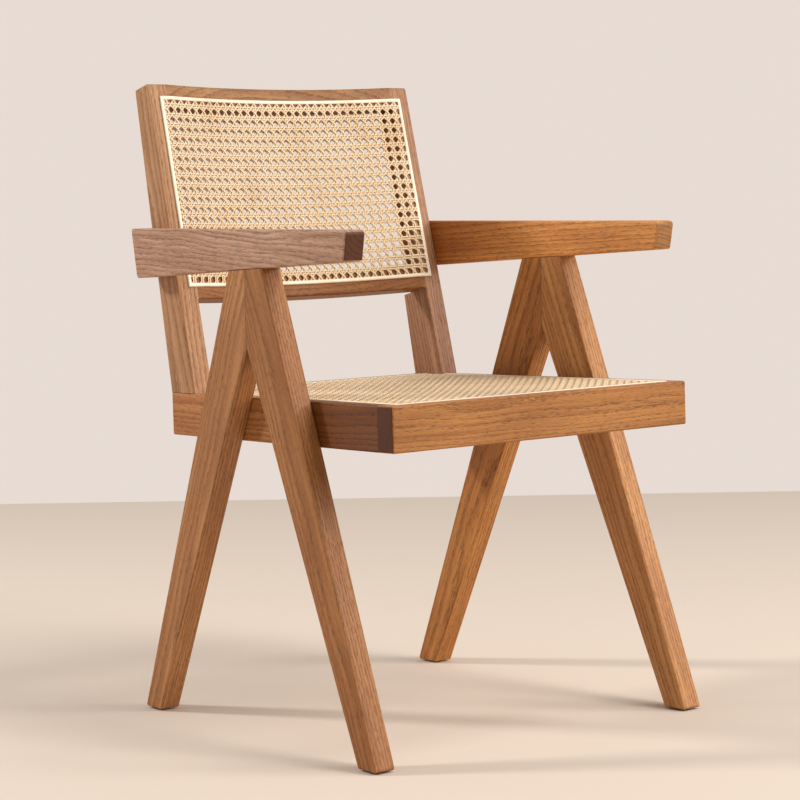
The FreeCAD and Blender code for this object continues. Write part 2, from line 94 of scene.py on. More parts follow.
def newGroup(name, inputs, outputs):
    group = bpy.data.node_groups.new(name, "ShaderNodeTree")
    for label, kind in inputs.items():
        group.interface.new_socket(name=label, in_out="INPUT", socket_type="NodeSocket" + kind)
    for label, kind in outputs.items():
        group.interface.new_socket(name=label, in_out="OUTPUT", socket_type="NodeSocket" + kind)
    return group, group.nodes.new("NodeGroupInput").outputs, group.nodes.new("NodeGroupOutput").inputs


def placeGroup(tree, group, inputs):
    made = tree.nodes.new("ShaderNodeGroup")
    made.node_tree = group
    connect(tree, made, inputs)
    return made.outputs


def newMaterial(name):
    material = bpy.data.materials.new(name)
    material.use_nodes = True
    return material, material.node_tree, material.node_tree.nodes["Principled BSDF"]


# camera
view = {
    "place": (-1.98875, -2.43775, 0.66438), "turn": -39.2501, "tilt": 4.906, "roll": -0.9344,
    "lens": 111.988, "sensor": 36, "farthest": 60,
}


def placeCamera():
    bpy.ops.object.camera_add(location=view["place"])
    camera = bpy.context.object
    aim = Euler((math.radians(90 - view["tilt"]), 0, math.radians(view["turn"]))).to_matrix()
    aim = aim @ Matrix.Rotation(math.radians(view["roll"]), 3, "Z")
    camera.rotation_euler = aim.to_euler()
    camera.data.sensor_width = view["sensor"]
    camera.data.lens = view["lens"]
    camera.data.clip_end = view["farthest"]
    scene.camera = camera


# floor, backdrop and lamps
room = {
    "floorSide": 4.3, "floorColour": (0.72, 0.625, 0.54), "floorRough": 0.9,
    "wallColour": (0.80, 0.71, 0.65), "airColour": (1, 0.965, 0.92), "ambient": 0.42,
}
lamps = {
    "windowKey": {"place": (-2.4, 2.2, 2.4), "aim": (0, 0, 0.4), "size": 0.5, "power": 72,
                  "colour": (1.0, 0.96, 0.91)},
    "frontKey": {"place": (1.8, -4.4, 4.2), "aim": (0, 0, 0.5), "size": 2.4, "power": 135,
                 "colour": (1.0, 0.94, 0.87)},
    "sideWindow": {"place": (2.7, -2.8, 1.7), "aim": (0, 0, 0.4), "size": 1.5, "power": 62,
                   "colour": (1.0, 0.95, 0.90)},
    "topSoft": {"place": (0.5, -1.0, 3.0), "aim": (0, 0, 0.4), "size": 0.8, "power": 18,
                "colour": (1.0, 0.97, 0.94)},
}


def makeFloor():
    turn = math.radians(view["turn"])
    bpy.ops.mesh.primitive_plane_add(size=room["floorSide"], rotation=(0, 0, turn))
    floor = bpy.context.object
    floor.name = "floor"
    bpy.ops.object.transform_apply(location=True, rotation=True, scale=True)
    paint, tree, shader = newMaterial("floorPaint")
    connect(tree, shader, {"Base Color": (*room["floorColour"], 1), "Roughness": room["floorRough"]})
    floor.data.materials.append(paint)


# a soft even light, which the camera and reflections see as a pale wall
def makeWorld():
    world = bpy.data.worlds.new("room")
    scene.world = world
    world.use_nodes = True
    tree = world.node_tree
    tree.nodes.clear()
    path = tree.nodes.new("ShaderNodeLightPath")
    seen = maths(tree, "MAXIMUM", path.outputs["Is Camera Ray"], path.outputs["Is Glossy Ray"])
    seen = maths(tree, "MAXIMUM", seen, path.outputs["Is Transmission Ray"])
    wall = add(tree, "ShaderNodeBackground", {"Color": (*room["wallColour"], 1), "Strength": 1})
    air = add(tree, "ShaderNodeBackground", {"Color": (*room["airColour"], 1), "Strength": room["ambient"]})
    mix = add(tree, "ShaderNodeMixShader", {0: seen, 1: air.outputs[0], 2: wall.outputs[0]})
    add(tree, "ShaderNodeOutputWorld", {"Surface": mix.outputs[0]})


def placeLamps():
    for name, lamp in lamps.items():
        bpy.ops.object.light_add(type="AREA", location=lamp["place"])
        made = bpy.context.object
        made.name = name
        made.data.shape = "DISK"
        made.data.size = lamp["size"]
        made.data.energy = lamp["power"]
        made.data.color = lamp["colour"]
        reach = Vector(lamp["aim"]) - Vector(lamp["place"])
        made.rotation_euler = reach.to_track_quat("-Z", "Y").to_euler()


# wood grain: noise scales are along and across the grain
grainScales = {
    "sway": (3.2, 16, 16), "ripple": (22, 120, 120), "drift": (5, 34, 34), "band": (2.2, 150, 150),
    "streak": (110, 1350, 1350), "fibre": (14, 620, 620),
}
grainLook = {
    "ripple": 0.10, "ringStep": 0.37, "ringUneven": 1.6, "ringOwn": 0.55, "ringBase": 0.45, "ringEdge": 0.95,
    "ringStops": ((0.07, 0.35), (0.35, 0.08), (0.75, 0.42), (0.93, 1.0)), "drift": 0.50, "band": 0.30,
    "porePhase": 0.08, "poreNear": 0.04, "poreFar": 0.20, "poreGain": 0.15, "poreCut": (0.57, 0.70),
    "poreDepth": -0.8, "fibreDepth": 0.35,
}


# growth rings round a pith line along local X, with long pores and fine fibre
def buildGrain():
    group, given, out = newGroup(
        "woodGrain",
        {"Vector": "Vector", "Ring Width": "Float", "Ring Contrast": "Float", "Waviness": "Float",
         "Pore Amount": "Float"},
        {"Tone": "Float", "Pores": "Float", "Fibre": "Float", "Height": "Float"})
    link = group.links.new
    look = grainLook

    def do(operation, *values):
        return maths(group, operation, *values)

    def layer(name, detail, roughness=0.5):
        return noise(group, scaled(group, given["Vector"], grainScales[name]), detail, roughness)

    sway = do("SUBTRACT", layer("sway", 2), 0.5)
    ripple = do("SUBTRACT", layer("ripple", 2), 0.5)
    parts = add(group, "ShaderNodeSeparateXYZ", {0: given["Vector"]}).outputs
    across = do("SQRT", do("ADD", do("MULTIPLY", parts[1], parts[1]), do("MULTIPLY", parts[2], parts[2])))
    bent = do("MULTIPLY_ADD", sway, given["Waviness"], across)
    bent = do("MULTIPLY_ADD", ripple, do("MULTIPLY", given["Waviness"], look["ripple"]), bent)
    rings = do("DIVIDE", bent, given["Ring Width"])
    uneven = add(group, "ShaderNodeTexNoise",
                 {"W": do("MULTIPLY", rings, look["ringStep"]), "Scale": 1, "Detail": 1},
                 noise_dimensions="1D").outputs[0]
    rings = do("MULTIPLY_ADD", uneven, look["ringUneven"], rings)
    phase = do("FRACT", rings)
    ramp = add(group, "ShaderNodeValToRGB", {0: phase})
    stops = ramp.color_ramp.elements
    edge = look["ringEdge"]
    stops[0].position, stops[0].color = 0, (edge, edge, edge, 1)
    stops[1].position, stops[1].color = 1, (edge, edge, edge, 1)
    for place, level in look["ringStops"]:
        stop = stops.new(place)
        stop.color = (level, level, level, 1)
    own = add(group, "ShaderNodeTexWhiteNoise", {"W": do("FLOOR", rings)}, noise_dimensions="1D").outputs[0]
    weight = do("MULTIPLY_ADD", own, look["ringOwn"], look["ringBase"])
    drift = layer("drift", 3)
    band = layer("band", 2)
    tone = do("MULTIPLY", ramp.outputs[0], weight)
    tone = do("MULTIPLY_ADD", drift, look["drift"], do("MULTIPLY", tone, given["Ring Contrast"]))
    tone = do("MULTIPLY_ADD", band, look["band"], tone)
    link(tone, out["Tone"])
    streak = layer("streak", 1)
    away = do("ABSOLUTE", do("SUBTRACT", phase, look["porePhase"]))
    row = spread(group, away, look["poreNear"], look["poreFar"], look["poreGain"], 0)
    cut = spread(group, do("ADD", streak, row), *look["poreCut"])
    pores = do("MULTIPLY", cut, given["Pore Amount"])
    link(pores, out["Pores"])
    fibre = layer("fibre", 3, 0.65)
    link(fibre, out["Fibre"])
    height = do("MULTIPLY_ADD", pores, look["poreDepth"], do("MULTIPLY", fibre, look["fibreDepth"]))
    link(height, out["Height"])
    return group


# 1 where the surface is cut across the grain
endCut = (0.70, 0.93)


def buildEndMask():
    group, given, out = newGroup("endGrain", {"Normal": "Vector", "Along": "Vector"}, {"Mask": "Float"})
    facing = add(group, "ShaderNodeVectorMath", {0: given["Normal"], 1: given["Along"]},
                 operation="DOT_PRODUCT").outputs["Value"]
    group.links.new(spread(group, maths(group, "ABSOLUTE", facing), *endCut), out["Mask"])
    return group


# 1 on a thin line where a flat cut crosses the piece
def buildJointLine():
    group, given, out = newGroup(
        "jointLine", {"Vector": "Vector", "Point": "Vector", "Across": "Vector", "Width": "Float"},
        {"Mask": "Float"})
    away = add(group, "ShaderNodeVectorMath", {0: given["Vector"], 1: given["Point"]},
               operation="SUBTRACT").outputs[0]
    gap = add(group, "ShaderNodeVectorMath", {0: away, 1: given["Across"]},
              operation="DOT_PRODUCT").outputs["Value"]
    near = maths(group, "DIVIDE", maths(group, "ABSOLUTE", gap), given["Width"])
    group.links.new(spread(group, near, *seamLine["soft"], 1, 0), out["Mask"])
    return group


teakTones = {
    "pale": (0.47, 0.215, 0.076), "middle": (0.345, 0.138, 0.042), "dark": (0.205, 0.072, 0.021),
    "pore": (0.080, 0.028, 0.010),
}
blockTones = {
    "pale": (0.66, 0.46, 0.26), "middle": (0.56, 0.36, 0.18), "dark": (0.40, 0.23, 0.10),
    "pore": (0.26, 0.14, 0.06),
}
dowelTones = {
    "pale": (0.74, 0.58, 0.38), "middle": (0.66, 0.48, 0.28), "dark": (0.50, 0.33, 0.17),
    "pore": (0.36, 0.22, 0.10),
}
woodLook = {
    "middle": (0.28, 0.56), "dark": (0.50, 0.92), "streakGain": 0.90, "streakBase": 0.55, "poreMix": 0.62,
    "poreRough": 0.2, "fibreRough": 0.16, "bump": 0.35, "bumpDistance": 0.0004,
    "coat": 0.05, "coatRough": 0.35, "specular": 0.30,
}
woodDefaults = {
    "ring": 0.0055, "contrast": 0.30, "waviness": 0.016, "pores": 0.9, "rough": 0.42, "tilt": 0,
    "tint": (1, 1, 1), "end": (0.46, 0.40, 0.36), "seam": False,
}
seamLine = {
    "point": (0, -0.02525, 0), "across": (0, 1, 0), "width": 0.0006, "soft": (0.4, 1.0),
    "colour": (0.10, 0.045, 0.022),
}


def woodMaterial(name, spec, place, groups, tones):
    material, tree, shader = newMaterial(name)
    where = add(tree, "ShaderNodeTexCoord").outputs
    along = Vector(spec["along"]).normalized()
    turn = along.to_track_quat("X", "Z") @ Euler((0, spec["tilt"], 0)).to_quaternion()
    origin = place + turn @ Vector((0, *spec["pith"]))
    mapping = add(tree, "ShaderNodeMapping",
                  {"Vector": where["Object"], "Location": origin, "Rotation": turn.to_euler()},
                  vector_type="TEXTURE")
    grain = placeGroup(tree, groups["grain"], {
        "Vector": mapping.outputs[0], "Ring Width": spec["ring"], "Ring Contrast": spec["contrast"],
        "Waviness": spec["waviness"], "Pore Amount": spec["pores"]})
    end = placeGroup(tree, groups["end"], {"Normal": where["Normal"], "Along": along})["Mask"]

    def tone(key):
        return (*(part * own for part, own in zip(tones[key], spec["tint"])), 1)

    middle = spread(tree, grain["Tone"], *woodLook["middle"])
    colour = blendColours(tree, middle, tone("pale"), tone("middle"))
    dark = spread(tree, grain["Tone"], *woodLook["dark"])
    colour = blendColours(tree, dark, colour, tone("dark"))
    streaks = maths(tree, "MULTIPLY_ADD", grain["Fibre"], woodLook["streakGain"], woodLook["streakBase"])
    shade = add(tree, "ShaderNodeCombineXYZ", {0: streaks, 1: streaks, 2: streaks}).outputs[0]
    colour = blendColours(tree, 1.0, colour, shade, "MULTIPLY")
    pores = maths(tree, "MULTIPLY", grain["Pores"], woodLook["poreMix"])
    colour = blendColours(tree, pores, colour, tone("pore"))
    if "deeper" in spec:      # painted shade: darker along Y from start to stop, where shade falls on the piece
        start, stop, darker = spec["deeper"]
        reach = add(tree, "ShaderNodeSeparateXYZ", {0: where["Object"]}).outputs[1]
        share = spread(tree, reach, start, stop)
        colour = blendColours(tree, share, colour, multiplied(tree, colour, darker))
    colour = blendColours(tree, end, colour, multiplied(tree, colour, spec["end"]))
    if spec["seam"]:
        mask = placeGroup(tree, groups["joint"], {
            "Vector": where["Object"], "Point": seamLine["point"], "Across": seamLine["across"],
            "Width": seamLine["width"]})["Mask"]
        colour = blendColours(tree, mask, colour, (*seamLine["colour"], 1))
    rough = maths(tree, "MULTIPLY_ADD", grain["Fibre"], woodLook["fibreRough"], spec["rough"])
    rough = maths(tree, "MULTIPLY_ADD", grain["Pores"], woodLook["poreRough"], rough)
    bump = add(tree, "ShaderNodeBump", {
        "Height": grain["Height"], "Strength": woodLook["bump"], "Distance": woodLook["bumpDistance"]})
    connect(tree, shader, {
        "Base Color": colour, "Roughness": rough, "Normal": bump.outputs[0],
        "Coat Weight": woodLook["coat"], "Coat Roughness": woodLook["coatRough"],
        "Specular IOR Level": woodLook["specular"]})
    return material


# along: the grain's direction; pith: how far the heart of the tree lies from the piece's middle.
# Each piece's tint is partly the wood's colour and partly painted light, fitted to the light on that piece:
# painted sheen on arm_right and both stiles, painted shade on back_bottom_rail. So they differ more than one
# batch of teak does.
woodPieces = {
    # arm_left is darkened towards its rear as painted shade from the back
    "arm_left": {
        "along": (-0.042, 1, 0), "pith": (0.012, -0.060), "tilt": 0.05, "ring": 0.0062, "contrast": 0.22,
        "tint": (1.60, 1.57, 1.28), "end": (0.56, 0.59, 0.68), "deeper": (0.02, 0.20, (0.58, 0.44, 0.28))},
    # arm_right's tint is mostly painted sheen, which makes it greyer and pinker than the other teak
    "arm_right": {
        "along": (0.042, 1, 0), "pith": (-0.020, 0.055), "tilt": -0.06, "ring": 0.0060, "contrast": 0.34,
        "waviness": 0.034, "tint": (1.27, 1.74, 3.50), "end": (0.19, 0.085, 0.025)},
    "front_leg_left": {
        "along": (-0.0158, 0.380, 0.925), "pith": (0.050, 0.022), "ring": 0.0050, "tint": (1.28, 1.36, 1.36),
        "seam": True},
    "front_leg_right": {
        "along": (0.0158, 0.380, 0.925), "pith": (-0.052, 0.020), "ring": 0.0048, "tint": (0.91, 0.86, 0.78),
        "seam": True},
    "rear_leg_left": {
        "along": (0.0158, -0.380, 0.925), "pith": (0.048, -0.03), "ring": 0.0052, "tint": (1.20, 1.14, 0.84),
        "seam": True},
    "rear_leg_right": {
        "along": (-0.0158, -0.380, 0.925), "pith": (-0.050, -0.028), "ring": 0.0050,
        "tint": (1.05, 1.08, 1.14), "seam": True},
    "seat_front_rail": {
        "along": (1, 0, 0), "pith": (-0.080, 0.030), "ring": 0.0034, "contrast": 0.20, "waviness": 0.010,
        "tint": (0.99, 0.93, 0.71), "end": (0.195, 0.105, 0.08)},
    "seat_side_rail_left": {"along": (-0.042, 1, -0.022), "pith": (0.05, 0.05), "tint": (0.95, 0.92, 0.88)},
    # this rail is darkened towards its front as painted shade from the legs
    "seat_side_rail_right": {
        "along": (0.042, 1, -0.022), "pith": (-0.05, 0.05), "tint": (1.12, 1.05, 0.98),
        "deeper": (0.02, -0.12, (0.37, 0.28, 0.17))},
    "seat_rear_rail": {"along": (1, 0, 0), "pith": (0.06, 0.04), "tint": (0.92, 0.92, 0.92)},
    # the stiles' tints carry painted sheen on their faces
    "stile_left": {
        "along": (-0.010, 0.239, 0.971), "pith": (0.05, 0.03), "ring": 0.0050, "tint": (0.95, 1.09, 1.65)},
    "stile_right": {
        "along": (0.010, 0.239, 0.971), "pith": (-0.05, -0.03), "ring": 0.0050, "tint": (1.18, 1.42, 2.0)},
    "back_top_rail": {
        "along": (1, 0, 0), "pith": (0.06, -0.05), "contrast": 0.24, "tint": (0.86, 0.93, 1.04)},
    # back_bottom_rail's tint is darkened as painted shade
    "back_bottom_rail": {
        "along": (1, 0, 0), "pith": (-0.06, -0.04), "contrast": 0.24, "tint": (0.76, 0.66, 0.46)},
}
hiddenWood = {
    "block": {"pith": (0.04, 0.03), "pores": 0.4, "rough": 0.5, "end": (0.8, 0.76, 0.72)},
    "dowel": {"pith": (0.012, 0.006), "pores": 0.4, "rough": 0.45, "end": (0.8, 0.76, 0.72), "ring": 0.0018},
}


def dress(name, material):
    mesh = nodes[name].data
    if not mesh.materials:
        mesh.materials.append(material)
    for index in range(len(mesh.materials)):
        mesh.materials[index] = material


def dressGrained(name, kind, spec, groups, tones):
    low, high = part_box(name)
    dress(name, woodMaterial(kind + name, {**woodDefaults, **spec}, (low + high) / 2, groups, tones))


def dressTeak(groups):
    for name, spec in woodPieces.items():
        dressGrained(name, "teak_", spec, groups, teakTones)


def dowelAxis(name):
    if name.startswith("back_rail"):
        return (1, 0, 0)
    return (0, 1, 0) if name.startswith("seam") else (0, 0, 1)


def dressHiddenWood(groups):
    for name in sorted(nodes):
        if name.startswith("corner_block"):
            side = 1 if name.endswith("left") else -1
            ahead = -1 if "rear" in name else 1
            spec = {**hiddenWood["block"], "along": (side, ahead, 0)}
            dressGrained(name, "beech_", spec, groups, blockTones)
        elif name.endswith("_dowels"):
            spec = {**hiddenWood["dowel"], "along": dowelAxis(name)}
            dressGrained(name, "birch_", spec, groups, dowelTones)


# metal and plastic, with smudges and fine scratches
hardware = {
    "leg_bolts": {"colour": (0.60, 0.60, 0.60), "metal": 1, "rough": 0.30},
    "leg_washers": {"colour": (0.64, 0.64, 0.63), "metal": 1, "rough": 0.34},
    "block_screws": {"colour": (0.70, 0.62, 0.44), "metal": 1, "rough": 0.32},
    "leg_inserts": {"colour": (0.72, 0.53, 0.25), "metal": 1, "rough": 0.30},
    "foot_glides": {"colour": (0.035, 0.033, 0.031), "metal": 0, "rough": 0.48},
}
handling = {
    "size": 160.0, "scratchScale": (30, 3, 3), "smudge": (0.3, 0.7), "worn": 0.72, "roughGain": 0.22,
    "roughDrop": 0.08, "bump": 0.25, "bumpDistance": 0.0002,
}


def buildHandling():
    group, given, out = newGroup("handling", {"Vector": "Vector", "Size": "Float"},
                                 {"Smudge": "Float", "Scratch": "Float"})
    grown = add(group, "ShaderNodeVectorMath", {0: given["Vector"], "Scale": given["Size"]},
                operation="SCALE").outputs[0]
    group.links.new(noise(group, grown, 3), out["Smudge"])
    group.links.new(noise(group, scaled(group, grown, handling["scratchScale"]), 2), out["Scratch"])
    return group


def dressHardware(groups):
    for name, spec in hardware.items():
        material, tree, shader = newMaterial("finish_" + name)
        where = add(tree, "ShaderNodeTexCoord").outputs["Object"]
        marks = placeGroup(tree, groups["handling"], {"Vector": where, "Size": handling["size"]})
        worn = tuple(handling["worn"] * part for part in spec["colour"])
        smudge = spread(tree, marks["Smudge"], *handling["smudge"])
        colour = blendColours(tree, smudge, (*spec["colour"], 1), (*worn, 1))
        rough = maths(tree, "MULTIPLY_ADD", marks["Scratch"], handling["roughGain"],
                      spec["rough"] - handling["roughDrop"])
        bump = add(tree, "ShaderNodeBump", {
            "Height": marks["Scratch"], "Strength": handling["bump"], "Distance": handling["bumpDistance"]})
        connect(tree, shader, {"Base Color": colour, "Roughness": rough, "Normal": bump.outputs[0],
                               "Metallic": spec["metal"]})
        dress(name, material)


# mesh helpers
touch = 1e-5      # points this close to a place lie on it


def pick(piece):
    bpy.ops.object.select_all(action="DESELECT")
    piece.select_set(True)
    bpy.context.view_layer.objects.active = piece


def choose(wanted):
    mesh = bmesh.from_edit_mesh(bpy.context.object.data)
    for vertex in mesh.verts:
        vertex.select = wanted(vertex.co)
    mesh.select_flush(True)
    mesh.select_flush(False)
    bmesh.update_edit_mesh(bpy.context.object.data)


def editMode():
    bpy.ops.object.mode_set(mode="EDIT")
    bpy.ops.mesh.select_mode(type="VERT")


def objectMode():
    bpy.ops.object.mode_set(mode="OBJECT")


def joined(pieces, name):
    pick(pieces[0])
    for piece in pieces:
        piece.select_set(True)
    if len(pieces) > 1:
        bpy.ops.object.join()
    result = bpy.context.object
    result.name = name
    return result


def arrayed(piece, count, offset, strands=0, along=0):
    pick(piece)
    modifier = piece.modifiers.new("row", "ARRAY")
    modifier.count = count
    modifier.use_relative_offset = False
    modifier.use_constant_offset = True
    modifier.constant_offset_displace = offset
    modifier.use_merge_vertices = along != 0
    modifier.merge_threshold = 2 * touch
    modifier.offset_u = strands
    modifier.offset_v = along
    bpy.ops.object.modifier_apply(modifier="row")


def copied(piece, name):
    made = piece.copy()
    made.data = piece.data.copy()
    made.name = name
    scene.collection.objects.link(made)
    pick(made)
    return made


# trims a piece by planes, each taking away what lies on its far side
def cutAway(piece, planes):
    pick(piece)
    editMode()
    for point, normal in planes:
        bpy.ops.mesh.select_all(action="SELECT")
        bpy.ops.mesh.bisect(plane_co=point, plane_no=normal, clear_outer=True)
    objectMode()


# the four planes round a panel that is wide by half at its low edge, with sides that face along slope
def panelPlanes(low, high, wide, slope):
    return [((0, high, 0), (0, 1, 0)), ((0, low, 0), (0, -1, 0)),
            ((wide, low, 0), slope), ((-wide, low, 0), (-slope[0], slope[1], 0))]


def lay(piece, place):
    for vertex in piece.data.vertices:
        vertex.co = place(vertex.co)


# cane weave: pairs run both ways through each other; the diagonals pass under one pair and over the other
weave = {
    "pitch": 0.0127, "cells": 36, "width": 0.0027, "thickness": 0.00052, "pairShift": 0.00148,
    "pairWave": 0.00026, "pairKnee": 0.0029, "kneeShare": 0.8, "diagonalWave": 0.00052,
    "diagonalFlat": 0.0029, "lift": 0.0007, "mapEdge": 0.05, "mapWidth": 0.9, "layerStep": 100,
}


# one repeat of a strand along X: a flat four-sided stick, divided at the stations and lifted there
def makeStrand(name, stations, shift, number):
    first, last = stations[0][0], stations[-1][0]
    bpy.ops.mesh.primitive_cylinder_add(vertices=4, radius=0.5, depth=last - first, end_fill_type="NOTHING",
                                        location=((first + last) / 2, 0, 0), rotation=(0, math.pi / 2, 0))
    strand = bpy.context.object
    strand.name = name
    bpy.ops.object.transform_apply(location=True, rotation=True, scale=True)
    editMode()
    bpy.ops.mesh.select_all(action="SELECT")
    bpy.ops.transform.resize(value=(1, weave["width"], weave["thickness"]), center_override=(0, 0, 0))
    for place, _ in stations[1:-1]:
        bpy.ops.mesh.select_all(action="SELECT")
        bpy.ops.mesh.bisect(plane_co=(place, 0, 0), plane_no=(1, 0, 0))
    for place, height in stations:
        choose(lambda point: abs(point.x - place) < touch)
        bpy.ops.transform.translate(value=(0, shift, height))
    objectMode()
    layer = strand.data.uv_layers[0]
    layer.name = "weave"
    for loop in strand.data.loops:
        point = strand.data.vertices[loop.vertex_index].co
        across = (point.y - shift) / weave["width"] + 0.5
        numbered = number + weave["mapEdge"] + weave["mapWidth"] * across
        layer.data[loop.index].uv = (numbered, point.x / weave["pitch"])
    return strand


# layerStep keeps the strand numbers of a panel's layers apart
def renumbered(piece, shift):
    for item in piece.data.uv_layers[0].data:
        item.uv.x += shift


def turned(piece, angle, axis):
    piece.data.transform(Matrix.Rotation(angle, 4, axis))
    renumbered(piece, weave["layerStep"])


def makePairs():
    pitch, knee, near, wave = weave["pitch"], weave["pairKnee"], weave["pairShift"], weave["pairWave"]
    share = weave["kneeShare"]
    strands = []
    for number, sign in ((0, -1), (1, 1)):
        stations = [(-knee, share * wave * sign), (-near, wave * sign), (near, -wave * sign),
                    (knee, -share * wave * sign), (pitch - knee, share * wave * sign)]
        strands.append(makeStrand("strand", stations, near * sign, number))
    pairs = joined(strands, "pairsAcross")
    half = weave["cells"] // 2
    pairs.data.transform(Matrix.Translation((-half * pitch, -half * pitch, 0)))
    arrayed(pairs, weave["cells"], (pitch, 0, 0), 0, 1)
    arrayed(pairs, weave["cells"] + 1, (0, pitch, 0), 2)
    upright = copied(pairs, "pairsUp")
    turned(upright, math.pi / 2, "Z")
    return joined([pairs, upright], "pairs")


def makeDiagonals():
    pitch, flat, wave = weave["pitch"], weave["diagonalFlat"], weave["diagonalWave"]
    step = pitch / math.sqrt(2)
    stations = [(-flat, -wave), (flat, -wave), (step - flat, wave), (step + flat, wave),
                (2 * step - flat, -wave)]
    rising = makeStrand("rising", stations, 0, 0)
    half = weave["cells"] // 2
    start = Matrix.Translation((-half * pitch, (0.5 - 2 * half) * pitch, 0))
    rising.data.transform(start @ Matrix.Rotation(math.pi / 4, 4, "Z"))
    arrayed(rising, weave["cells"] + 1, (pitch, pitch, 0), 0, math.sqrt(2))
    arrayed(rising, 2 * weave["cells"], (0, pitch, 0), 1)
    edge = half * pitch
    cutAway(rising, panelPlanes(-edge, edge, edge, (1, 0, 0)))
    falling = copied(rising, "falling")
    turned(falling, math.pi, "Y")
    both = joined([rising, falling], "diagonals")
    renumbered(both, 3 * weave["layerStep"])
    return both


# Where the panels lie. This is the front rail's foremost point, at its foot, 1.14 mm ahead of the seat's
# upper front edge, so the cane and reeds lie that much further forward than the frame's own.
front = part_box("seat_front_rail")[0].y
seat = {
    "frontWidth": 0.470, "sideSlope": 0.0415778, "toe": math.radians(2.3809), "depth": 0.469,
    "height": 0.4183, "fall": math.atan(0.022), "marginFront": 0.014, "marginSide": 0.018,
    "marginRear": 0.022, "stileFoot": 0.415, "stock": 0.029, "clear": 0.0002, "overlap": 0.0001,
    "sag": 0.0022, "sagInset": 0.023, "sagStart": 0.019, "sagLength": 0.423,
    "lift": 0.0002, "weaveShift": 0.231, "press": {"pairs": 0.9, "diagonals": 0.6},
}
back = {
    "topReach": 0.5113, "topHeight": 0.800, "lean": math.radians(13.842), "height": 0.2820,
    "margin": 0.016, "chord": 0.182716, "hollow": 0.0168, "stock": 0.029, "cellsDown": 9,
    "weaveShare": (0.9910, 1.0331), "shifts": {"front": (-0.0028, -0.0278, 0), "rear": (0.0055, -0.0220, 0)},
}
sides = {"front": -1, "rear": 1}
spline = {
    "width": 0.005, "proudBack": 0.0017, "proudSeat": 0.0009, "sunk": 0.0012, "round": 0.0016,
    "segments": 4, "stations": 28, "level": 1e-6,
}
backRadius = (back["chord"] ** 2 + back["hollow"] ** 2) / 2 / back["hollow"]
backArc = backRadius * math.asin(back["chord"] / backRadius)


def sideAt(reach, inset):
    return seat["frontWidth"] / 2 - reach * seat["sideSlope"] - inset / math.cos(seat["toe"])


# flat (across, along, out) to the place on the sloping seat
def onSeat(point, sag=True):
    across, along, out = point
    drop = 0
    if sag:
        wide = min(1, abs(across) / sideAt(along, seat["sagInset"]))
        deep = min(1, abs(2 * (along - seat["sagStart"]) / seat["sagLength"] - 1))
        drop = seat["sag"] * (1 - wide ** 2) * (1 - deep ** 2)
    out -= drop
    cosine, sine = math.cos(seat["fall"]), math.sin(seat["fall"])
    return Vector((across, front + along * cosine + out * sine, seat["height"] - along * sine + out * cosine))


# flat (across, up, out) to the place on the front or rear face of the hollow, leaning back
def onBack(point, side):
    across, up, out = point
    turn = across / backRadius
    radius = backRadius + side * out
    if abs(across) > backArc:      # flat on the stiles
        wide, deep = math.copysign(back["chord"] + abs(across) - backArc, across), side * out
    else:
        wide, deep = radius * math.sin(turn), back["hollow"] - backRadius + radius * math.cos(turn)
    deep += back["stock"] if side > 0 else 0
    cosine, sine = math.cos(back["lean"]), math.sin(back["lean"])
    return Vector((-side * wide, front + back["topReach"] + deep * cosine + up * sine,
                   back["topHeight"] - deep * sine + up * cosine))


def backSlopes(margin):
    lowReach = back["topReach"] - (back["height"] - margin) * math.sin(back["lean"])
    highReach = back["topReach"] - margin * math.sin(back["lean"])
    bulge = backArc - back["chord"]
    return sideAt(lowReach, margin) + bulge, sideAt(highReach, margin) + bulge


def finish(piece, name, material, stands):
    pick(piece)
    piece.name = name
    piece.data.name = name
    piece.data.materials.clear()
    piece.data.materials.append(material)
    bpy.ops.object.shade_smooth()
    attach(piece, "root")
    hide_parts(*stands)
    print("made", name, len(piece.data.polygons), "faces")


def makeBackCane(flat, material):
    margin = back["margin"] + spline["width"] / 2
    low, high = backSlopes(margin)
    top, bottom = -margin, margin - back["height"]
    slope = Vector((top - bottom, low - high, 0)).normalized()
    stretch = Matrix.Diagonal((*back["weaveShare"], 1, 1))      # this roll is woven a little longer than wide
    down = Matrix.Translation((0, -back["cellsDown"] * weave["pitch"], 0))
    for name, side in sides.items():
        panel = copied(flat, "cane")
        panel.data.transform(Matrix.Translation(back["shifts"][name]) @ stretch @ down)
        cutAway(panel, panelPlanes(bottom, top, low, slope))
        lay(panel, lambda point, side=side: onBack((point.x, point.y, point.z + weave["lift"]), side))
        finish(panel, "back_weave_" + name, material, ["back_cane_" + name])


# the seat's weave narrows behind the feet of the stiles
def makeSeatCane(flats, material):
    across = Vector((1, seat["sideSlope"], 0)).normalized()
    sideMargin = seat["marginSide"] + spline["width"] / 2
    frontMargin = seat["marginFront"] + spline["width"] / 2
    rearEnd = seat["depth"] - seat["marginRear"] - spline["width"] / 2
    foot = seat["stileFoot"]
    inner = seat["stock"] + seat["clear"]
    for name, flat in flats.items():
        pressed = Matrix.Diagonal((1, 1, seat["press"][name], 1))      # sitting has pressed the weave flatter
        parts = []
        for low, high, inset in ((frontMargin, foot, sideMargin), (foot, rearEnd, inner)):
            part = copied(flat, "cane")
            part.data.transform(Matrix.Translation((0, seat["weaveShift"], 0)) @ pressed)
            cutAway(part, panelPlanes(low, high, sideAt(low, inset), across))
            parts.append(part)
        panel = joined(parts, "cane")
        lay(panel, lambda point: onSeat((point.x, point.y, point.z + seat["lift"])))
        finish(panel, "seat_weave_" + name, material, ["seat_cane"])


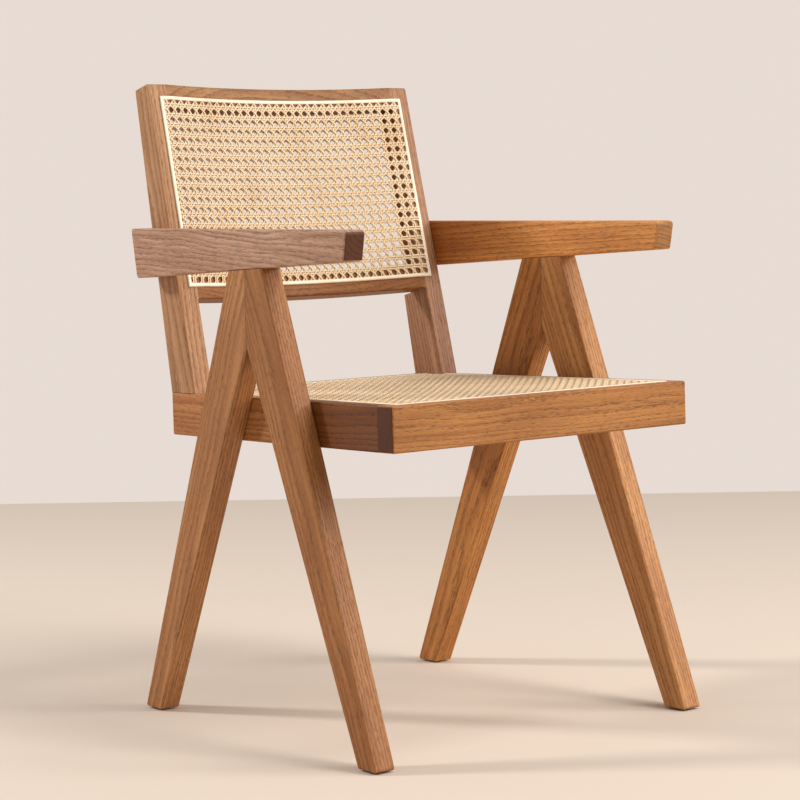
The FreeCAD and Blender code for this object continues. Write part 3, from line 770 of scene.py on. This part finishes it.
# a mitred ring of reed: a plate inset by the reed's width, its middle taken out, raised and rounded
def makeRing(corners, stations, proud):
    bpy.ops.mesh.primitive_plane_add(size=1)
    ring = bpy.context.object
    for vertex in ring.data.vertices:
        right, up = vertex.co.x > 0, vertex.co.y > 0
        vertex.co = (*corners[(2 if right else 3) if up else (1 if right else 0)], -spline["sunk"])
    editMode()
    bpy.ops.mesh.select_all(action="SELECT")
    bpy.ops.mesh.inset(thickness=spline["width"])
    bpy.ops.mesh.delete(type="FACE")
    bpy.ops.mesh.select_all(action="SELECT")
    bpy.ops.mesh.extrude_region_move(TRANSFORM_OT_translate={"value": (0, 0, proud + spline["sunk"])})
    bpy.ops.mesh.select_all(action="SELECT")
    bpy.ops.mesh.normals_make_consistent(inside=False)
    bpy.ops.mesh.select_mode(type="EDGE")
    bpy.ops.mesh.select_all(action="DESELECT")
    mesh = bmesh.from_edit_mesh(ring.data)
    for edge in mesh.edges:
        level = all(abs(vertex.co.z - proud) < spline["level"] for vertex in edge.verts)
        walls = any(abs(face.normal.z) < 0.5 for face in edge.link_faces)
        if level and walls:
            edge.select = True
    bmesh.update_edit_mesh(ring.data)
    bpy.ops.mesh.bevel(offset=spline["round"], segments=spline["segments"], affect="EDGES")
    for place in stations:
        bpy.ops.mesh.select_all(action="SELECT")
        bpy.ops.mesh.bisect(plane_co=(place, 0, 0), plane_no=(1, 0, 0))
    objectMode()
    return ring


# along the reed and across it, for its fibres
def mapReed(ring, low, high):
    layer = ring.data.uv_layers[0] if ring.data.uv_layers else ring.data.uv_layers.new()
    layer.name = "reed"
    for face in ring.data.polygons:
        upright = low + 2 * spline["width"] < face.center.y < high - 2 * spline["width"]
        for index in face.loop_indices:
            point = ring.data.vertices[ring.data.loops[index].vertex_index].co
            layer.data[index].uv = (point.y, point.x) if upright else (point.x, point.y)


def makeBackSplines(material):
    margin = back["margin"]
    low, high = backSlopes(margin)
    top, bottom = -margin, margin - back["height"]
    corners = [(-low, bottom), (low, bottom), (high, top), (-high, top)]
    count = spline["stations"]
    stations = [-backArc + 2 * backArc * step / count for step in range(count + 1)]
    for name, side in sides.items():
        ring = makeRing(corners, stations, spline["proudBack"])
        mapReed(ring, bottom, top)
        lay(ring, lambda point, side=side: onBack(point, side))
        finish(ring, "back_reed_" + name, material, ["back_spline_" + name])


def makeSeatSplines(material):
    ahead, foot = seat["marginFront"], seat["stileFoot"]
    rear = seat["depth"] - seat["marginRear"]
    aheadWide, rearWide = sideAt(ahead, seat["marginSide"]), sideAt(rear, seat["marginSide"])
    corners = [(-aheadWide, ahead), (aheadWide, ahead), (rearWide, rear), (-rearWide, rear)]
    ring = makeRing(corners, [], spline["proudSeat"])
    mapReed(ring, ahead, rear)
    around = copied(ring, "around")
    cutAway(around, [((0, foot - seat["overlap"], 0), (0, 1, 0))])
    lay(around, lambda point: onSeat(point, False))
    finish(around, "seat_reed", material, ["seat_spline"])
    wide = sideAt(rear - spline["width"], seat["stock"] + seat["clear"])
    cutAway(ring, [((0, foot, 0), (0, -1, 0)), ((wide, 0, 0), (1, 0, 0)), ((-wide, 0, 0), (-1, 0, 0))])
    lay(ring, lambda point: onSeat(point, False))
    finish(ring, "seat_reed_rear", material, ["seat_spline_rear"])


# cane and reed finishes
caneTones = {
    "cream": (0.99, 0.80, 0.56), "gold": (0.97, 0.70, 0.42), "amber": (0.74, 0.40, 0.16),
    "edge": (0.52, 0.27, 0.10),
}
reedTones = {"cream": (0.99, 0.88, 0.73), "gold": (0.97, 0.82, 0.62), "amber": (0.78, 0.54, 0.30)}
caneFibre = {
    "slowAlong": 0.35, "strandStep": 7.13, "slowShare": 0.6, "ownShare": 0.4, "fineAlong": 1.3,
    "fineAcross": 9, "patchScale": (13, 13, 13), "rim": (0.30, 0.46),
}
caneLook = {
    "gold": (0.25, 0.75), "patch": (0.50, 0.72), "patchMix": 0.35, "line": (0.52, 0.75), "lineMix": 0.30,
    "rimMix": 0.45, "roughGain": 0.25, "roughBase": 0.30, "bump": 0.3, "bumpDistance": 0.0001,
    "coat": 0.2, "coatRough": 0.3, "through": 0.12, "throughReach": (1.0, 0.9, 0.8), "throughScale": 0.002,
    "reedFine": 90.0,
}


# per-strand shade, fibre lines along the strand and slow patches over the panel
def buildCaneFibre():
    group, given, out = newGroup("caneFibre", {"Strand": "Vector", "Vector": "Vector"},
                                 {"Shade": "Float", "Fibre": "Float", "Patch": "Float", "Rim": "Float"})
    link = group.links.new

    def do(operation, *values):
        return maths(group, operation, *values)

    def pair(first, second):
        return add(group, "ShaderNodeCombineXYZ", {0: first, 1: second}).outputs[0]

    parts = add(group, "ShaderNodeSeparateXYZ", {0: given["Strand"]}).outputs
    number = do("FLOOR", parts[0])
    across = do("FRACT", parts[0])
    own = add(group, "ShaderNodeTexWhiteNoise", {"W": number}, noise_dimensions="1D").outputs[0]
    far = pair(do("MULTIPLY", parts[1], caneFibre["slowAlong"]),
               do("MULTIPLY", number, caneFibre["strandStep"]))
    shade = do("MULTIPLY_ADD", noise(group, far, 2), caneFibre["slowShare"],
               do("MULTIPLY", own, caneFibre["ownShare"]))
    link(shade, out["Shade"])
    near = pair(do("MULTIPLY", parts[1], caneFibre["fineAlong"]),
                do("MULTIPLY", parts[0], caneFibre["fineAcross"]))
    link(noise(group, near, 3, 0.6), out["Fibre"])
    link(noise(group, scaled(group, given["Vector"], caneFibre["patchScale"]), 3), out["Patch"])
    rim = do("ABSOLUTE", do("SUBTRACT", across, 0.5))
    link(spread(group, rim, *caneFibre["rim"]), out["Rim"])
    return group


# fine multiplies the map of a plain reed, which has no strand numbers and no darker rim
def caneMaterial(name, layerName, groups, tones, fine=None):
    look = caneLook
    material, tree, shader = newMaterial(name)
    where = add(tree, "ShaderNodeTexCoord").outputs["Object"]
    strand = add(tree, "ShaderNodeUVMap", uv_map=layerName).outputs[0]
    if fine:
        strand = scaled(tree, strand, (fine, fine, 1))
    fibre = placeGroup(tree, groups["cane"], {"Strand": strand, "Vector": where})
    shade = spread(tree, fibre["Shade"], *look["gold"])
    colour = blendColours(tree, shade, (*tones["cream"], 1), (*tones["gold"], 1))
    warm = maths(tree, "MULTIPLY", spread(tree, fibre["Patch"], *look["patch"]), look["patchMix"])
    colour = blendColours(tree, warm, colour, (*tones["amber"], 1))
    lines = maths(tree, "MULTIPLY", spread(tree, fibre["Fibre"], *look["line"]), look["lineMix"])
    colour = blendColours(tree, lines, colour, (*tones["amber"], 1))
    if not fine:
        rim = maths(tree, "MULTIPLY", fibre["Rim"], look["rimMix"])
        colour = blendColours(tree, rim, colour, (*tones["edge"], 1))
    rough = maths(tree, "MULTIPLY_ADD", fibre["Fibre"], look["roughGain"], look["roughBase"])
    bump = add(tree, "ShaderNodeBump", {
        "Height": fibre["Fibre"], "Strength": look["bump"], "Distance": look["bumpDistance"]})
    connect(tree, shader, {
        "Base Color": colour, "Roughness": rough, "Normal": bump.outputs[0],
        "Coat Weight": look["coat"], "Coat Roughness": look["coatRough"],
        "Subsurface Weight": look["through"],      # thin cane lets some light through
        "Subsurface Radius": look["throughReach"], "Subsurface Scale": look["throughScale"]})
    return material


# the chair
groups = {
    "grain": buildGrain(), "end": buildEndMask(), "joint": buildJointLine(), "handling": buildHandling(),
    "cane": buildCaneFibre(),
}
placeCamera()
makeFloor()
makeWorld()
placeLamps()
print("room and camera ready")
dressTeak(groups)
dressHiddenWood(groups)
dressHardware(groups)
print("wood and hardware dressed")
caneFinish = caneMaterial("cane", "weave", groups, caneTones)
reedFinish = caneMaterial("reed", "reed", groups, reedTones, caneLook["reedFine"])
pairs = makePairs()
diagonals = makeDiagonals()
whole = joined([copied(pairs, "pairsCopy"), copied(diagonals, "diagonalsCopy")], "flatCane")
print("cane woven flat")
makeBackCane(whole, caneFinish)
makeSeatCane({"pairs": pairs, "diagonals": diagonals}, caneFinish)
for spare in (whole, pairs, diagonals):
    bpy.data.objects.remove(spare)
makeBackSplines(reedFinish)
makeSeatSplines(reedFinish)
print("cane and splines laid")
